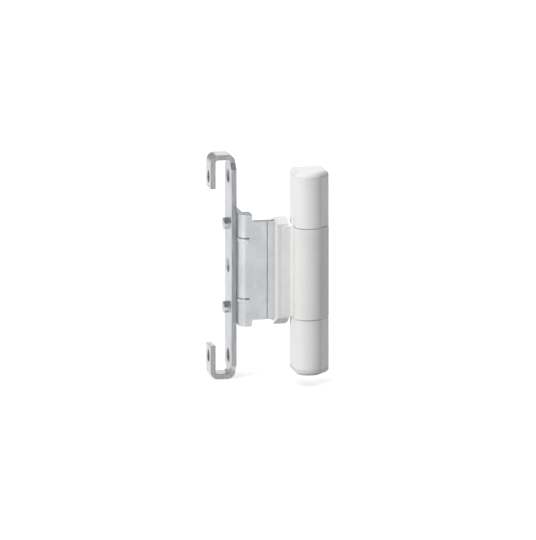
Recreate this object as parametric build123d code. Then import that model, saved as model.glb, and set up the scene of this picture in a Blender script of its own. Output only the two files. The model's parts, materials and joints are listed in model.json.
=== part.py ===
from build123d import *
from math import cos, hypot, radians, sin, sqrt, tan
import os

os.makedirs("parts", exist_ok=True)

# All sizes are in millimetres
# X runs from the mounting bar to the barrel, Y runs away from the viewer and Z is up
# The origin is the middle screw hole, on the face that the hooks and studs stand out of

# Mounting bar
bar_height = 126.0
bar_thick = 3.0
web_width = 18.0
hook_width = 11.4
hook_reach = 11.1
hook_leg = 19.0
bar_bend = 1.4
waist_gap = 0.3
waist_rise = 3.0
screw_drop = 12.6
screw_hole = 2.2
screw_head = 4.0
leg_hole = 3.2

# Locating studs
stud_pitch = 47.0
stud_radius = 3.25
stud_stand = 3.0
stud_bevel = 0.5
shank_radius = 3.5
head_radius = 4.6
head_height = 1.2

# Bent leaf
leaf_thick = 3.0
leaf_bend = 1.4
leaf_stand = 8.8
tab_step = 3.7
tab_length = 6.9
neck_step = 3.4
neck_tuck = 1.5
sheet_corner = 1.1
joggle_place = 2.1
joggle_length = 4.4
joggle_depth = 3.93
joggle_bend = 3.0
knuckle_height = 48.8
roll_angle = 290.0
groove_place = 4.9
groove_width = 0.8
groove_depth = 1.0
bead_pitch = 34.0
bead_height = 2.8
bead_slope = 0.5
bead_proud = 0.5
bead_back = 3.3
bead_length = 5.2

# Strip in the inner corner of the leaf
packer_length = 4.4
packer_depth = 5.8

# Pin, bushes and set screws
pin_reach = 37.1
pin_radius = 3.5
pin_bevel = 0.5
bush_wall = 1.0
bush_length = 16.0
flange_thick = 1.0
set_screw_radius = 5.0
set_screw_length = 6.0
hex_flats = 5.0
hex_depth = 3.0

# Barrel, its walls measured from the rolled knuckle
barrel_height = 114.0
wall_left = 1.23
wall_right = 3.23
wall_back = 3.23
wall_crown = 2.33
wall_facet = 1.3
facet_angle = 40.0
crown_shift = 0.8
corner_drop = 5.1
corner_round = 1.2
cap_height = 3.0
cap_round = 2.9
spigot_length = 3.0
spigot_rib = 1.6
sash_hole = 2.1
sash_depth = 5.0
sash_pitch = 12.0

# Covers
strap_thick = 1.0
strap_proud = 0.5
strap_end = 1.5
strap_bend = 0.8
strap_corner = 1.4
strap_overlap = 3.5
cover_wall = 0.8
cover_length = 6.3
cover_slant = 0.7
cover_lip = 1.2
cover_corner = 2.2
flare_depth = 3.85
flare_reach = 1.6
flare_sweep = 1.26

# Clearances, each on one side
seat_clearance = 0.02
running_clearance = 0.05
moulded_clearance = 0.05
turning_gap = 0.3
spigot_gap = 1.0
swing_gap = 0.4
cover_gap = 0.3

# Places of the screw holes, the leaf and the pin axis
screw_pitch = bar_height / 2 - screw_drop
neck_height = knuckle_height + 2 * neck_step
tab_height = neck_height + 2 * tab_step
leaf_front = -(web_width / 2 + leaf_stand)
leaf_back = leaf_front + leaf_thick
flange_inner = bar_thick + leaf_thick
bush_radius = pin_radius + running_clearance + bush_wall
knuckle_bore = bush_radius + seat_clearance
knuckle_radius = knuckle_bore + leaf_thick
axis_x = bar_thick + pin_reach
neck_front = leaf_front - joggle_depth
axis_y = neck_front - knuckle_bore

# Outline of the barrel, measured from the pin axis
barrel_left = knuckle_radius + wall_left
barrel_right = knuckle_radius + wall_right
barrel_back = knuckle_radius + wall_back
barrel_crown = knuckle_radius + wall_crown
facet_radius = knuckle_radius + wall_facet
facet_start = (facet_radius * cos(radians(facet_angle)), -facet_radius * sin(radians(facet_angle)))
facet_rise = (facet_radius - barrel_right * cos(radians(facet_angle))) / sin(radians(facet_angle))
facet_end = (barrel_right, -facet_rise)
swing_radius = hypot(barrel_right, facet_rise)

# Heights of the pieces along the pin, above mid height
middle_half = knuckle_height / 2 + flange_thick
housing_bottom = middle_half + turning_gap
housing_top = barrel_height / 2 - cap_height
set_screw_top = housing_top - spigot_length - spigot_gap
pin_half = set_screw_top - set_screw_length

# Places of the covers
cover_front = neck_front - cover_gap - cover_wall
strap_back = cover_front - axis_y
cover_right = axis_x - sqrt((swing_radius + swing_gap) ** 2 - strap_back ** 2)
cover_left = cover_right - cover_length
slot_half = neck_height / 2 + moulded_clearance
tip_half = slot_half + cover_wall + flare_reach
flat_half = tip_half - flare_depth


def rod_along_x(radius, start, end, z):
    """A round bar along X."""
    return Pos((start + end) / 2, 0, z) * Rot(0, 90, 0) * Cylinder(radius, end - start)


def drill(radius, start, z):
    """A rod along X that reaches past both faces of a bar that starts at the given X."""
    return rod_along_x(radius, start - bar_thick, start + 2 * bar_thick, z)


def rod_at_pin(radius, bottom, top):
    """A round bar on the pin axis, between two heights."""
    return Pos(axis_x, axis_y, (bottom + top) / 2) * Cylinder(radius, top - bottom)


def block(x, y, z):
    """A box given by its two limits along each axis."""
    middle = Pos(sum(x) / 2, sum(y) / 2, sum(z) / 2)
    return middle * Box(x[1] - x[0], y[1] - y[0], z[1] - z[0])


def raised(section, bottom, top):
    """A flat section in X and Y raised between two heights."""
    return extrude(Pos(0, 0, bottom) * section, amount=top - bottom, dir=(0, 0, 1))


def web_outline():
    """Flat of the bar: full width, then sloped down to the hook width at each end."""
    waist = bar_height / 2 - bar_thick - bar_bend - waist_gap
    full = waist - waist_rise
    wide = web_width / 2
    narrow = hook_width / 2
    right = [(wide, -full), (wide, full), (narrow, waist)]
    left = [(-narrow, waist), (-wide, full), (-wide, -full)]
    return make_face(Polyline(*right, *left, (-narrow, -waist), (narrow, -waist), close=True))


def mounting_bar():
    """Flat bar with both ends bent over into hooks."""
    middle = bar_thick / 2
    leg = middle - hook_reach
    end = bar_height / 2 - middle
    tip = bar_height / 2 - hook_leg
    points = [(leg, tip), (leg, end), (middle, end), (middle, -end), (leg, -end), (leg, -tip)]
    strip = trace(FilletPolyline(*points, radius=bar_bend + middle), bar_thick)
    bar = extrude(Plane.XZ * strip, amount=hook_width / 2, both=True)
    bar += extrude(Plane.YZ * web_outline(), amount=bar_thick, dir=(1, 0, 0))
    sink = screw_head - screw_hole
    cone = Rot(0, 90, 0) * Cone(screw_head, screw_hole, sink)
    for z in (-screw_pitch, 0, screw_pitch):
        bar -= drill(screw_hole, 0, z)
        bar -= Pos(sink / 2, 0, z) * cone
    for z in (-screw_pitch, screw_pitch):
        bar -= drill(leg_hole, -hook_reach, z)
    for z in (-stud_pitch / 2, stud_pitch / 2):
        bar -= drill(shank_radius + seat_clearance, 0, z)
    return bar


def locating_stud():
    """Round stud on a thicker shank through bar and flange, with a flat head inside the flange."""
    z = stud_pitch / 2
    stud = rod_along_x(stud_radius, -stud_stand, 0, z)
    stud = chamfer(stud.edges().group_by(Axis.X)[0], stud_bevel)
    head = rod_along_x(head_radius, flange_inner, flange_inner + head_height, z)
    return stud + rod_along_x(shank_radius, 0, flange_inner, z) + head


def leaf_section():
    """Bent sheet seen along Z: flange, leaf, joggle and rolled knuckle."""
    middle = leaf_thick / 2
    flange = bar_thick + middle
    plane = leaf_front + middle
    roll = knuckle_bore + middle
    joggle = cover_left + joggle_place
    points = [(flange, web_width / 2), (flange, plane), (joggle, plane)]
    points += [(joggle + joggle_length, axis_y + roll), (axis_x, axis_y + roll)]
    path = FilletPolyline(*points, radius=[leaf_bend + middle, joggle_bend, joggle_bend])
    knuckle = CenterArc((axis_x, axis_y), roll, 90, -roll_angle)
    return trace(path.edges() + knuckle.edges(), leaf_thick)


def leaf_outline():
    """Bent sheet seen from the front: tab, neck and knuckle, with round corners."""
    tab = bar_thick + tab_length
    neck = cover_left + neck_tuck
    end = axis_x + knuckle_radius
    upper = [(0, tab_height / 2), (tab, tab_height / 2), (tab, neck_height / 2)]
    upper += [(neck, neck_height / 2), (neck, knuckle_height / 2), (end, knuckle_height / 2)]
    lower = [(x, -z) for x, z in reversed(upper)]
    outline = make_face(Polyline(*upper, *lower, close=True))
    corners = outline.vertices().filter_by_position(Axis.X, tab / 2, (neck + end) / 2)
    return fillet(corners, sheet_corner)


def bead(z):
    """Rib with sloped sides, pressed out of the outside of the leaf's bend."""
    start = (bar_thick, -web_width / 2 - bead_back)
    end = (bar_thick + bead_length, leaf_front)
    path = FilletPolyline(start, (bar_thick, leaf_front), end, radius=leaf_bend + leaf_thick)
    across = Plane(origin=(*start, 0), x_dir=(1, 0, 0), z_dir=(0, -1, 0))
    base = bead_height / 2
    crest = base - bead_slope
    side = [(bead_proud, base), (0, base), (-bead_proud, crest)]
    profile = make_face(Polyline(*side, *[(x, -y) for x, y in reversed(side)], close=True))
    return Pos(0, 0, z) * sweep(across * profile, path=path)


def hinge_leaf():
    """One sheet, cut to its outline, bent, joggled and rolled round the bushes."""
    half = tab_height / 2
    leaf = raised(leaf_section(), -half, half)
    depth = web_width - axis_y + knuckle_radius
    leaf &= extrude(Plane.XZ * leaf_outline(), amount=depth, both=True)
    leaf += bead(-bead_pitch / 2)
    leaf += bead(bead_pitch / 2)
    groove = cover_left - groove_place
    sides = (groove - groove_width / 2, groove + groove_width / 2)
    leaf -= block(sides, (leaf_front - groove_depth, leaf_front + groove_depth), (-half, half))
    leaf -= rod_along_x(screw_hole, bar_thick, flange_inner, 0)
    for z in (-stud_pitch / 2, stud_pitch / 2):
        leaf -= rod_along_x(shank_radius + seat_clearance, bar_thick, flange_inner, z)
    return leaf


def corner_packer():
    """Strip in the inner corner of the leaf, cut back along the bend."""
    left = flange_inner
    right = left + packer_length
    back = leaf_back + packer_depth
    relief = leaf_bend + moulded_clearance
    points = [(left + relief, leaf_back), (right, leaf_back), (right, back), (left, back)]
    section = make_face(Polyline(*points, (left, leaf_back + relief), close=True))
    strip = raised(section, -tab_height / 2, tab_height / 2)
    return fillet(strip.edges().filter_by(Axis.Y).group_by(Axis.X)[-1], sheet_corner)


def cover_profile():
    """Neck cover seen along X: flat front, thin sloped ends and straight sides behind them."""
    back = leaf_back + moulded_clearance + cover_wall
    side = slot_half + cover_wall
    edge = cover_wall / sqrt(2)
    tip = cover_front + flare_depth
    root = tip + 2 * edge - flare_reach
    upper = [(cover_front, flat_half), (tip, tip_half), (tip + edge, tip_half - edge)]
    upper += [(root, side), (back, side)]
    lower = [(y, -z) for y, z in reversed(upper)]
    return make_face(Polyline(*upper, *lower, close=True))


def cover_cavity():
    """Space inside the neck cover seen along X, one wall inside its front and sides."""
    front = cover_front + cover_wall
    flat = flat_half - cover_wall * tan(radians(22.5))
    upper = [(front, flat), (front + slot_half - flat, slot_half)]
    upper += [(leaf_back + moulded_clearance, slot_half)]
    lower = [(y, -z) for y, z in reversed(upper)]
    return make_face(Polyline(*upper, *lower, close=True))


def cover_outline():
    """Neck cover seen from the front, with round corners towards the barrel."""
    width = 2 * cover_length
    outline = Pos(cover_right - width / 2, 0) * Rectangle(width, 2 * tip_half)
    return fillet(outline.vertices().group_by(Axis.X)[-1], cover_corner)


def cover_left_cut():
    """What the sloped left faces of the neck cover leave out."""
    past = tip_half + flare_depth
    reach = cover_left - flare_sweep * (past - flat_half) / flare_depth
    points = [(0, past), (reach, past), (cover_left, flat_half)]
    points += [(x, -z) for x, z in reversed(points)]
    face = Plane.XZ.offset(-cover_front) * make_face(Polyline(*points, close=True))
    slope = (-cover_slant, leaf_front - cover_front, 0)
    return extrude(face, amount=3 * web_width, dir=slope)


def neck_cover():
    """Moulded cover that clips over the neck from the front, open towards the barrel."""
    start = cover_left - 2 * flare_sweep - cover_slant
    length = cover_right - start
    cover = extrude(Plane.YZ.offset(start) * cover_profile(), amount=length)
    cover &= extrude(Plane.XZ * cover_outline(), amount=3 * web_width)
    cover -= cover_left_cut()
    inside = cover_left + cover_wall
    cover -= extrude(Plane.YZ.offset(inside) * cover_cavity(), amount=length)
    across = (start, cover_right)
    sheet = (leaf_front - moulded_clearance, leaf_back + moulded_clearance)
    cover -= block(across, sheet, (-slot_half, slot_half))
    opening = neck_height / 2 - cover_lip
    return cover - block(across, (sheet[0], leaf_back + packer_depth), (-opening, opening))


def barrel_section():
    """Barrel seen along Z: round front, sloped facet, straight sides and flat back."""
    left_back = (-barrel_left, barrel_back)
    left_corner = (-barrel_left, -corner_drop)
    crown = (-crown_shift, -barrel_crown)
    right_back = (barrel_right, barrel_back)
    lines = Line(left_back, left_corner) + ThreePointArc(left_corner, crown, facet_start)
    lines += Line(facet_start, facet_end) + Line(facet_end, right_back)
    section = make_face(lines + Line(right_back, left_back))
    corner = section.vertices().sort_by_distance((*left_corner, 0))[0]
    return fillet(corner, corner_round)


def strap_section():
    """Thin strap: tail on the neck cover, then round the front of the barrel."""
    outer = offset(barrel_section(), strap_proud)
    inner = offset(barrel_section(), strap_proud - strap_thick)
    left = -barrel_left - strap_proud
    right = barrel_right - strap_end
    front = -2 * barrel_crown
    window = Pos((left + right) / 2, (front + strap_back) / 2) * Rectangle(right - left, strap_back - front)
    tail_start = cover_left + strap_overlap - strap_proud - axis_x
    tail_end = left + strap_thick
    middle = Pos((tail_start + tail_end) / 2, strap_back - strap_thick / 2)
    tail = middle * Rectangle(tail_end - tail_start, strap_thick)
    section = (outer - inner) & window
    section += tail
    corner = section.vertices().sort_by_distance((left, strap_back - strap_thick, 0))[0]
    return fillet(corner, strap_bend)


def knuckle_cover():
    """Strap over the full height of the middle, with round corners on its tail."""
    strap = raised(Pos(axis_x, axis_y) * strap_section(), -middle_half, middle_half)
    return fillet(strap.edges().filter_by(Axis.Y).group_by(Axis.X)[0], strap_corner)


def knuckle_shell():
    """Moulded filler between the rolled knuckle and its cover, open for the neck."""
    inset = strap_thick - strap_proud + moulded_clearance
    section = barrel_section() & Circle(swing_radius)
    rim = barrel_section() - offset(barrel_section(), -inset)
    right = barrel_right - strap_end + moulded_clearance
    window = Pos(right - 2 * barrel_right, strap_back - 2 * barrel_crown)
    section -= rim & window * Rectangle(4 * barrel_right, 4 * barrel_crown)
    section -= Circle(knuckle_radius + moulded_clearance)
    low = knuckle_bore - moulded_clearance
    high = knuckle_radius + moulded_clearance
    channel = Pos(-barrel_left, (low + high) / 2) * Rectangle(2 * barrel_left, high - low)
    section -= channel
    return raised(Pos(axis_x, axis_y) * section, -middle_half, middle_half)


def bush():
    """Flanged bush in the end of the rolled knuckle."""
    top = middle_half
    bottom = knuckle_height / 2
    sleeve = rod_at_pin(bush_radius, bottom - bush_length, top)
    sleeve += rod_at_pin(knuckle_radius - seat_clearance, bottom, top)
    return sleeve - rod_at_pin(pin_radius + running_clearance, bottom - bush_length, top)


def housing():
    """Barrel housing with the pin bore, the set screw bore and two blind holes in its back."""
    body = raised(Pos(axis_x, axis_y) * barrel_section(), housing_bottom, housing_top)
    body -= rod_at_pin(pin_radius + seat_clearance, housing_bottom, pin_half)
    body -= rod_at_pin(set_screw_radius, pin_half, housing_top)
    middle = (housing_bottom + housing_top) / 2
    hole = Rot(90, 0, 0) * Cylinder(sash_hole, sash_depth)
    for z in (middle - sash_pitch / 2, middle + sash_pitch / 2):
        body -= Pos(axis_x, axis_y + barrel_back - sash_depth / 2, z) * hole
    return body


def end_cap():
    """Cap with a cross-shaped spigot in the bore and its top edge rounded all but at the back."""
    cap = raised(Pos(axis_x, axis_y) * barrel_section(), housing_top, housing_top + cap_height)
    top = cap.edges().group_by(Axis.Z)[-1]
    back = axis_y + barrel_back
    cap = fillet([e for e in top if e.center().Y < back - corner_round / 2], cap_round)
    reach = sqrt((set_screw_radius - moulded_clearance) ** 2 - (spigot_rib / 2) ** 2)
    cross = Rectangle(2 * reach, spigot_rib) + Rectangle(spigot_rib, 2 * reach)
    return cap + raised(Pos(axis_x, axis_y) * cross, housing_top - spigot_length, housing_top)


def hinge_pin():
    """Pin through both housings and the knuckle."""
    return chamfer(rod_at_pin(pin_radius, -pin_half, pin_half).edges(), pin_bevel)


def pin_screw():
    """Set screw on the end of the pin, with a hexagon socket."""
    screw = rod_at_pin(set_screw_radius - seat_clearance, pin_half, set_screw_top)
    socket = RegularPolygon(hex_flats / 2, 6, major_radius=False)
    screw -= raised(Pos(axis_x, axis_y) * socket, set_screw_top - hex_depth, set_screw_top)
    return screw


single = {
    "mounting_bar": mounting_bar(),
    "hinge_leaf": hinge_leaf(),
    "corner_packer": corner_packer(),
    "neck_cover": neck_cover(),
    "knuckle_shell": knuckle_shell(),
    "knuckle_cover": knuckle_cover(),
    "hinge_pin": hinge_pin(),
}
paired = {
    "locating_stud": locating_stud(),
    "bush": bush(),
    "housing": housing(),
    "end_cap": end_cap(),
    "pin_screw": pin_screw(),
}

for name, shape in single.items():
    export_step(shape, f"parts/{name}.step")
for name, shape in paired.items():
    export_step(shape, f"parts/{name}_upper.step")
    export_step(mirror(shape, about=Plane.XY), f"parts/{name}_lower.step")
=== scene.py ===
import json
from math import radians

import bpy
from mathutils import Matrix, Vector


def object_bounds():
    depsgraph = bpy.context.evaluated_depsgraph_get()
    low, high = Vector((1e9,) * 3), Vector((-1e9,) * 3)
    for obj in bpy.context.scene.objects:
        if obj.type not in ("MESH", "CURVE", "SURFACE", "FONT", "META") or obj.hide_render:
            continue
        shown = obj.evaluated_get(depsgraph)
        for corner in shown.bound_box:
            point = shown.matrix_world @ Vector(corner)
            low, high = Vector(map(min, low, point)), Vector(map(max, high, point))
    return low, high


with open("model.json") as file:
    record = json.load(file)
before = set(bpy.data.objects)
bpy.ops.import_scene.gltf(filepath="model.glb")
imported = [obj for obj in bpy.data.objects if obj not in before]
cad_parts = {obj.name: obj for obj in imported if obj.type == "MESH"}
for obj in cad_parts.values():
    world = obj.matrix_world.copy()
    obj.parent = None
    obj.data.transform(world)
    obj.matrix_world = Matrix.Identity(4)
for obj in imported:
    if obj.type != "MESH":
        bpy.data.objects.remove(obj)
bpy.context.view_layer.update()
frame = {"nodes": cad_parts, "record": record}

# Lengths are in metres, and mm turns a size in millimetres into metres
mm = 0.001

# Camera of the drawing: orthographic, 12 degrees to the left of the front and 12 degrees up
PIXEL = 0.55 * mm
IMAGE_HEIGHT = 540
VIEW_AZIMUTH = radians(-12)
VIEW_ELEVATION = radians(12)
CAMERA_DISTANCE = 3.0

# Middle of the picture, in pixels from the bar's front right edge at half its height
BAR_CORNER = Vector((3, -9, 0)) * mm
CENTRE_RIGHT_OF_CORNER = 31.25
CENTRE_BELOW_CORNER = 2.03

# Floor, and a second sheet of paper under it that fills the lower edge of low views
FLOOR_REACH = 20.0
FLOOR_GLOW = 0.56
FLOOR_CLOUD = 0.2
BASE_DROP = 1.0
BASE_GLOW = 1.0

# Room, bright on one side and dim on the other
ROOM_BRIGHT_SIDE = (-0.3, 0.55, 0.4)
ROOM_BRIGHT = 0.5
ROOM_DIM = 0.17
ROOM_FADE = (-0.4, 0.9)
ROOM_COLOUR = (0.96, 0.98, 1.0, 1)

# Lights, each square one with its place, width and power
LIGHT_AIM = Vector((20, -15, 0)) * mm
OVERHEAD_PLACE = (-0.35, -0.2, 1.6)
OVERHEAD_POWER = 1.2
OVERHEAD_SPREAD = radians(50)
LAMPS = {
    "key": ((-1.15, -0.96, 0.4), 0.4, 17),
    "fill": ((1.0, -0.6, 0.5), 0.5, 2.5),
    "back": ((0.85, 1.13, 0.6), 0.5, 9),
}
PANELS = {
    "key_panel": ((-1.15, -0.96, 0.4), 0.8, 5),
    "right_panel": ((1.2, -0.5, 0.5), 0.8, 2),
    "back_panel": ((0.5, 1.3, 0.6), 0.8, 2),
}

# Countersinks of the mounting bar, in a row along Z, which are painted darker as shade in their
# hollows
SHEET = 3 * mm
SINK_RADIUS = 4 * mm
SINK_MARGIN = 0.03 * mm

# Edge rounding that a deburred sheet, a painted casting and a moulding have
SHEET_EDGE = 0.25 * mm
PAINTED_EDGE = 0.45 * mm
MOULDED_EDGE = 0.2 * mm
THIN_EDGE = 0.1 * mm
TURNED_EDGE = 0.12 * mm
CAP_EDGE = 0.07 * mm
EDGE_STEPS = 3

# What counts as one point, as one flat face and as a sharp edge
WELD_REACH = 0.004 * mm
FLAT_ANGLE = radians(0.6)
SHARP_ANGLE = radians(28)
LARGE_FACE_WEIGHT = 80

# Stretch of the rolling grain and of the tool marks
GRAIN = 0.06
RING = 0.05

# Axes by number, and the colour sockets of a Mix node
Y_AXIS = 1
Z_AXIS = 2
FIRST_COLOUR = 6
SECOND_COLOUR = 7
MIXED_COLOUR = 2


class Graph:
    """A material's node tree, with short calls for the nodes that it needs."""

    def __init__(self, name):
        self.material = bpy.data.materials.new(name)
        self.material.use_nodes = True
        self.tree = self.material.node_tree
        self.shader = self.tree.nodes["Principled BSDF"]
        self.coords = self.add("ShaderNodeTexCoord")

    def add(self, kind, **settings):
        node = self.tree.nodes.new(kind)
        for name, value in settings.items():
            setattr(node, name, value)
        return node

    def feed(self, value, socket):
        """Gives a socket a number or the output of another node."""
        if isinstance(value, (int, float)):
            socket.default_value = value
        else:
            self.tree.links.new(value, socket)

    def set(self, **values):
        """Constants on the shader's own sockets, with underscores for spaces."""
        for name, value in values.items():
            self.shader.inputs[name.replace("_", " ")].default_value = value

    def surface(self, colour, rough):
        """Colour and roughness that vary over the surface."""
        self.feed(colour, self.shader.inputs["Base Color"])
        self.feed(rough, self.shader.inputs["Roughness"])

    def mapped(self, stretch=(1, 1, 1)):
        mapping = self.add("ShaderNodeMapping")
        mapping.inputs["Scale"].default_value = stretch
        self.feed(self.coords.outputs["Object"], mapping.inputs["Vector"])
        return mapping.outputs["Vector"]

    def noise(self, size, detail=3.0, stretch=(1, 1, 1), rough=0.5):
        """Cloudy pattern whose blobs measure about size, in metres."""
        node = self.add("ShaderNodeTexNoise")
        node.inputs["Scale"].default_value = 1 / size
        node.inputs["Detail"].default_value = detail
        node.inputs["Roughness"].default_value = rough
        self.feed(self.mapped(stretch), node.inputs["Vector"])
        return node.outputs["Fac"]

    def cells(self, size):
        """Crystal-like cells of about the given size, in metres."""
        node = self.add("ShaderNodeTexVoronoi")
        node.inputs["Scale"].default_value = 1 / size
        self.feed(self.mapped(), node.inputs["Vector"])
        return node.outputs["Color"]

    def ramp(self, value, low, high, start=0.3, end=0.7):
        """Value between start and end turned into a run from low to high."""
        node = self.add("ShaderNodeMapRange")
        node.inputs["From Min"].default_value = start
        node.inputs["From Max"].default_value = end
        node.inputs["To Min"].default_value = low
        node.inputs["To Max"].default_value = high
        self.feed(value, node.inputs["Value"])
        return node.outputs["Result"]

    def tint(self, value, low, high, start=0.3, end=0.7):
        """Colour that runs from low to high with the value."""
        node = self.add("ShaderNodeValToRGB")
        node.color_ramp.elements[0].position = start
        node.color_ramp.elements[0].color = (*low, 1)
        node.color_ramp.elements[1].position = end
        node.color_ramp.elements[1].color = (*high, 1)
        self.feed(value, node.inputs["Fac"])
        return node.outputs["Color"]

    def mix(self, factor, first, second, blend="MIX"):
        """Second colour laid over the first, as far as the factor says."""
        node = self.add("ShaderNodeMix", data_type="RGBA", blend_type=blend)
        self.feed(factor, node.inputs["Factor"])
        self.feed(first, node.inputs[FIRST_COLOUR])
        self.feed(second, node.inputs[SECOND_COLOUR])
        return node.outputs[MIXED_COLOUR]

    def math(self, operation, *values):
        node = self.add("ShaderNodeMath", operation=operation)
        for socket, value in zip(node.inputs, values):
            self.feed(value, socket)
        return node.outputs[0]

    def split(self, output):
        """The three numbers of one of the coordinates."""
        node = self.add("ShaderNodeSeparateXYZ")
        self.feed(self.coords.outputs[output], node.inputs[0])
        return node.outputs

    def facing(self, axis):
        """1 where the surface faces along the given axis of the part, else 0."""
        side = self.math("ABSOLUTE", self.split("Normal")[axis])
        return self.ramp(side, 0, 1, 0.8, 0.95)

    def sink_shade(self, pitch):
        """1 inside the bar's countersinks and the bores behind them, else 0: the mask of the painted
        shade in these hollows.
        """
        through, across, up = self.split("Object")
        up = self.math("WRAP", up, pitch / 2, -pitch / 2)
        squares = self.math("ADD", self.math("POWER", across, 2), self.math("POWER", up, 2))
        near = self.math("LESS_THAN", self.math("SQRT", squares), SINK_RADIUS)
        within = self.math("COMPARE", through, SHEET / 2, SHEET / 2 - SINK_MARGIN)
        return self.math("MULTIPLY", near, within)

    def bump(self, layers):
        """Bump from several heights, each with its depth in metres."""
        last = None
        for height, depth in layers:
            node = self.add("ShaderNodeBump")
            node.inputs["Strength"].default_value = 1.0
            node.inputs["Distance"].default_value = depth
            self.feed(height, node.inputs["Height"])
            if last:
                self.feed(last, node.inputs["Normal"])
            last = node.outputs["Normal"]
        self.feed(last, self.shader.inputs["Normal"])


def zinc_sheet(name, cut_axis, grain, hole_pitch=None):
    """Zinc-plated pressed steel: soft clouds, faint spangle, rolling grain and duller cut faces,
    with the cut faces' dark tone also painted into the bar's countersinks as shade.
    """
    g = Graph(name)
    g.set(Metallic=1.0)
    cloud = g.tint(g.noise(11 * mm, 3), (0.56, 0.575, 0.595), (0.66, 0.67, 0.68))
    spangle = g.tint(g.cells(1.3 * mm), (0.86, 0.865, 0.87), (1, 1, 1), 0.1, 0.9)
    face = g.mix(0.5, cloud, spangle, "MULTIPLY")
    # Darker tone of the sheared cut faces, which also serves as painted shade in the bar's
    # countersinks
    edge = g.tint(g.noise(0.5 * mm, 3, grain), (0.34, 0.35, 0.36), (0.5, 0.505, 0.51))
    cut_and_sink_shade = g.facing(cut_axis)
    # On the bar, the countersinks and the bores behind them take the cut-face tone as painted shade
    # in these hollows
    if hole_pitch:
        cut_and_sink_shade = g.math("MAXIMUM", cut_and_sink_shade, g.sink_shade(hole_pitch))
    smooth = g.ramp(g.noise(3 * mm, 4), 0.3, 0.36)
    streak = g.ramp(g.noise(0.3 * mm, 2, grain), 0, 0.07)
    rough = g.math("ADD", g.math("ADD", smooth, streak), g.math("MULTIPLY", cut_and_sink_shade, 0.1))
    g.surface(g.mix(cut_and_sink_shade, face, edge), rough)
    g.bump([(g.noise(0.35 * mm, 2, grain), 0.004 * mm), (g.noise(6 * mm, 1), 0.01 * mm)])
    return g.material


def turned_steel(name, low, high, ring):
    """Turned steel with fine tool marks across its axis."""
    g = Graph(name)
    g.set(Metallic=1.0)
    g.surface(g.tint(g.noise(3 * mm, 3), low, high), g.ramp(g.noise(1.5 * mm, 3), 0.24, 0.34))
    g.bump([(g.noise(0.2 * mm, 2, ring), 0.004 * mm)])
    return g.material


def powder_coat(name, low, high):
    """Satin powder coat with a fine orange-peel skin."""
    g = Graph(name)
    g.set(Coat_Weight=0.25, Coat_Roughness=0.18)
    g.surface(g.tint(g.noise(14 * mm, 3), low, high), g.ramp(g.noise(2 * mm, 3), 0.36, 0.42))
    g.bump([(g.noise(0.9 * mm, 2), 0.01 * mm), (g.noise(0.25 * mm, 1), 0.003 * mm)])
    return g.material


def moulding(name, low, high, rough):
    """Moulded plastic with a fine eroded grain and slight flow marks."""
    g = Graph(name)
    g.set(IOR=1.47)
    gloss = g.ramp(g.noise(1.2 * mm, 3), rough - 0.04, rough + 0.05)
    g.surface(g.tint(g.noise(11 * mm, 3), low, high), gloss)
    g.bump([(g.noise(0.3 * mm, 3, rough=0.7), 0.006 * mm), (g.noise(6 * mm, 1), 0.01 * mm)])
    return g.material


def smooth_shading():
    """Node group that shades every face of a mesh smooth."""
    group = bpy.data.node_groups.new("smooth_shading", "GeometryNodeTree")
    group.interface.new_socket("Geometry", in_out="INPUT", socket_type="NodeSocketGeometry")
    group.interface.new_socket("Geometry", in_out="OUTPUT", socket_type="NodeSocketGeometry")
    start = group.nodes.new("NodeGroupInput")
    smooth = group.nodes.new("GeometryNodeSetShadeSmooth")
    end = group.nodes.new("NodeGroupOutput")
    group.links.new(start.outputs[0], smooth.inputs["Geometry"])
    group.links.new(smooth.outputs[0], end.inputs[0])
    return group


SMOOTH = smooth_shading()


def finish_edges(piece, width):
    """Rounds a piece's sharp edges to the given width and shades it cleanly."""
    weld = piece.modifiers.new("weld", "WELD")
    weld.merge_threshold = WELD_REACH
    flats = piece.modifiers.new("flats", "DECIMATE")
    flats.decimate_type = "DISSOLVE"
    flats.angle_limit = FLAT_ANGLE
    bevel = piece.modifiers.new("edges", "BEVEL")
    bevel.width = width
    bevel.segments = EDGE_STEPS
    bevel.limit_method = "ANGLE"
    bevel.angle_limit = SHARP_ANGLE
    bevel.use_clamp_overlap = False
    shade = piece.modifiers.new("shading", "NODES")
    shade.node_group = SMOOTH
    normals = piece.modifiers.new("normals", "WEIGHTED_NORMAL")
    normals.weight = LARGE_FACE_WEIGHT


def dress(material, edge, *nodes):
    """Gives the nodes their material and rounds their edges."""
    for node in nodes:
        piece = frame["nodes"][node]
        piece.data.materials.clear()
        piece.data.materials.append(material)
        finish_edges(piece, edge)


def both(name):
    """Names of the upper and the lower one of a pair."""
    return (name + "_upper", name + "_lower")


def screw_pitch():
    """Distance between neighbouring screw holes in the bar, from its outer two in the record."""
    dims = {mount["name"]: mount["dims"] for mount in frame["record"]["mounts"]}
    return dims["bar_screws"]["spacing_y_mm"] / 2 * mm


def dress_metal():
    """Pressed sheet, cut along the bar's sides and the leaf's ends, and turned steel."""
    # The screw pitch places the painted shade in the bar's countersinks
    bar = zinc_sheet("zinc_bar", Y_AXIS, (1, 1, GRAIN), screw_pitch())
    leaf = zinc_sheet("zinc_leaf", Z_AXIS, (GRAIN, 1, 1))
    rings_along_x = (1, RING, RING)
    rings_along_z = (RING, RING, 1)
    stud = turned_steel("turned_stud", (0.5, 0.51, 0.52), (0.64, 0.645, 0.65), rings_along_x)
    pin = turned_steel("turned_pin", (0.55, 0.555, 0.56), (0.68, 0.68, 0.68), rings_along_z)
    screw = turned_steel("dark_screw", (0.07, 0.07, 0.075), (0.13, 0.13, 0.135), rings_along_z)
    dress(bar, SHEET_EDGE, "mounting_bar")
    dress(leaf, SHEET_EDGE, "hinge_leaf")
    dress(stud, TURNED_EDGE, *both("locating_stud"))
    dress(pin, TURNED_EDGE, "hinge_pin")
    dress(screw, TURNED_EDGE, *both("pin_screw"))


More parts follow.
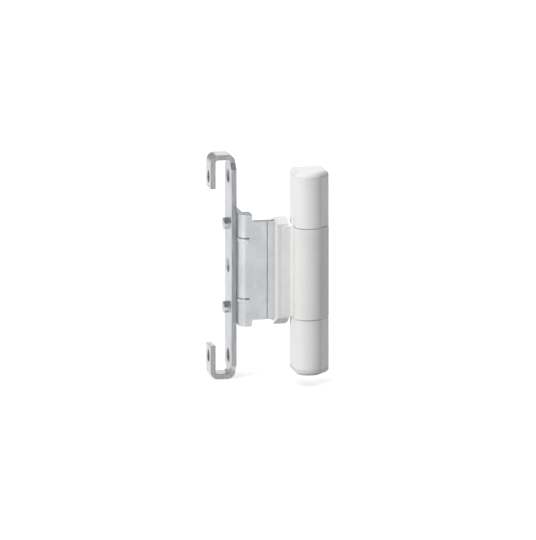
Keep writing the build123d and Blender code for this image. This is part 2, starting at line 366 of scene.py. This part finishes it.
def dress_white_and_plastic():
    """Powder-coated housings, white mouldings, the grey packer and the dark bushes."""
    enamel = powder_coat("white_enamel", (0.77, 0.77, 0.76), (0.8, 0.8, 0.79))
    shell = moulding("white_moulding", (0.74, 0.74, 0.725), (0.78, 0.78, 0.765), 0.42)
    packer = moulding("grey_moulding", (0.3, 0.31, 0.32), (0.36, 0.37, 0.38), 0.5)
    bush = moulding("bush_moulding", (0.035, 0.035, 0.038), (0.055, 0.055, 0.06), 0.4)
    dress(enamel, PAINTED_EDGE, *both("housing"))
    dress(shell, CAP_EDGE, *both("end_cap"))
    dress(shell, MOULDED_EDGE, "knuckle_shell", "knuckle_cover")
    dress(shell, THIN_EDGE, "neck_cover")
    dress(packer, MOULDED_EDGE, "corner_packer")
    dress(bush, TURNED_EDGE, *both("bush"))


def view_frame(azimuth, elevation):
    """Rotation of a camera that looks at the part from the given direction."""
    turn = Matrix.Rotation(azimuth, 3, "Z")
    tip = Matrix.Rotation(radians(90) - elevation, 3, "X")
    return turn @ tip


def add_camera():
    """Camera that frames the part as the drawing does."""
    data = bpy.data.cameras.new("camera")
    data.type = "ORTHO"
    data.ortho_scale = IMAGE_HEIGHT * PIXEL
    camera = bpy.data.objects.new("camera", data)
    bpy.context.scene.collection.objects.link(camera)
    axes = view_frame(VIEW_AZIMUTH, VIEW_ELEVATION)
    across = axes @ Vector((CENTRE_RIGHT_OF_CORNER, -CENTRE_BELOW_CORNER, 0))
    back = axes @ Vector((0, 0, CAMERA_DISTANCE))
    place = BAR_CORNER + across * PIXEL + back
    camera.matrix_world = Matrix.Translation(place) @ axes.to_4x4()
    bpy.context.scene.camera = camera


def add_light(kind, name, place, power):
    """Light that looks from its place at the middle of the part."""
    data = bpy.data.lights.new(name, kind)
    data.energy = power
    light = bpy.data.objects.new(name, data)
    light.location = place
    light.rotation_euler = (LIGHT_AIM - Vector(place)).to_track_quat("-Z", "Y").to_euler()
    light.visible_camera = False
    bpy.context.scene.collection.objects.link(light)
    return light


def add_overhead():
    """Wide soft light from above that shows in no reflection."""
    overhead = add_light("SUN", "overhead", OVERHEAD_PLACE, OVERHEAD_POWER)
    overhead.data.angle = OVERHEAD_SPREAD
    overhead.visible_glossy = False


def add_lamp(name, place, width, power):
    """Square light that shades the surfaces but shows in no reflection."""
    light = add_light("AREA", name, place, power)
    light.data.size = width
    light.visible_glossy = False


def add_panel(name, place, width, power):
    """Large dim square that shows in reflections only."""
    light = add_light("AREA", name, place, power)
    light.data.size = width
    light.visible_diffuse = False


def add_paper(name, height, glow):
    """Pale paper at the given height, far wider than the view, which throws no light back up."""
    corners = [(-FLOOR_REACH, -FLOOR_REACH, 0), (FLOOR_REACH, -FLOOR_REACH, 0)]
    corners += [(FLOOR_REACH, FLOOR_REACH, 0), (-FLOOR_REACH, FLOOR_REACH, 0)]
    mesh = bpy.data.meshes.new(name)
    mesh.from_pydata(corners, [], [(0, 1, 2, 3)])
    paper = bpy.data.objects.new(name, mesh)
    paper.location.z = height
    bpy.context.scene.collection.objects.link(paper)
    paper.visible_diffuse = False
    g = Graph(name + "_paper")
    shade = g.tint(g.noise(FLOOR_CLOUD, 2), (0.54, 0.54, 0.54), (0.56, 0.56, 0.56))
    g.feed(shade, g.shader.inputs["Base Color"])
    g.set(Roughness=0.9, Specular_IOR_Level=0.1, Emission_Color=(1, 1, 1, 1), Emission_Strength=glow)
    paper.data.materials.append(g.material)


def add_surround():
    """Pale room: bright above, to the left and behind the part, dimmer in front and to the right."""
    world = bpy.data.worlds.new("surround")
    world.use_nodes = True
    tree = world.node_tree
    coords = tree.nodes.new("ShaderNodeTexCoord")
    lean = tree.nodes.new("ShaderNodeVectorMath")
    lean.operation = "DOT_PRODUCT"
    lean.inputs[1].default_value = Vector(ROOM_BRIGHT_SIDE).normalized()
    tree.links.new(coords.outputs["Generated"], lean.inputs[0])
    ramp = tree.nodes.new("ShaderNodeMapRange")
    ramp.inputs["From Min"].default_value = ROOM_FADE[0]
    ramp.inputs["From Max"].default_value = ROOM_FADE[1]
    ramp.inputs["To Min"].default_value = ROOM_DIM
    ramp.inputs["To Max"].default_value = ROOM_BRIGHT
    tree.links.new(lean.outputs["Value"], ramp.inputs["Value"])
    background = tree.nodes["Background"]
    background.inputs["Color"].default_value = ROOM_COLOUR
    tree.links.new(ramp.outputs["Result"], background.inputs["Strength"])
    bpy.context.scene.world = world


def add_studio():
    """Pale floor and room, a wide light above, and lamps and reflected panels round the part."""
    floor_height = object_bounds()[0][2]
    add_paper("floor", floor_height, FLOOR_GLOW)
    add_paper("floor_base", floor_height - BASE_DROP, BASE_GLOW)
    add_surround()
    add_overhead()
    for name, (place, width, power) in LAMPS.items():
        add_lamp(name, place, width, power)
    for name, (place, width, power) in PANELS.items():
        add_panel(name, place, width, power)
    bpy.context.scene.view_settings.view_transform = "Standard"


dress_metal()
dress_white_and_plastic()
add_camera()
add_studio()
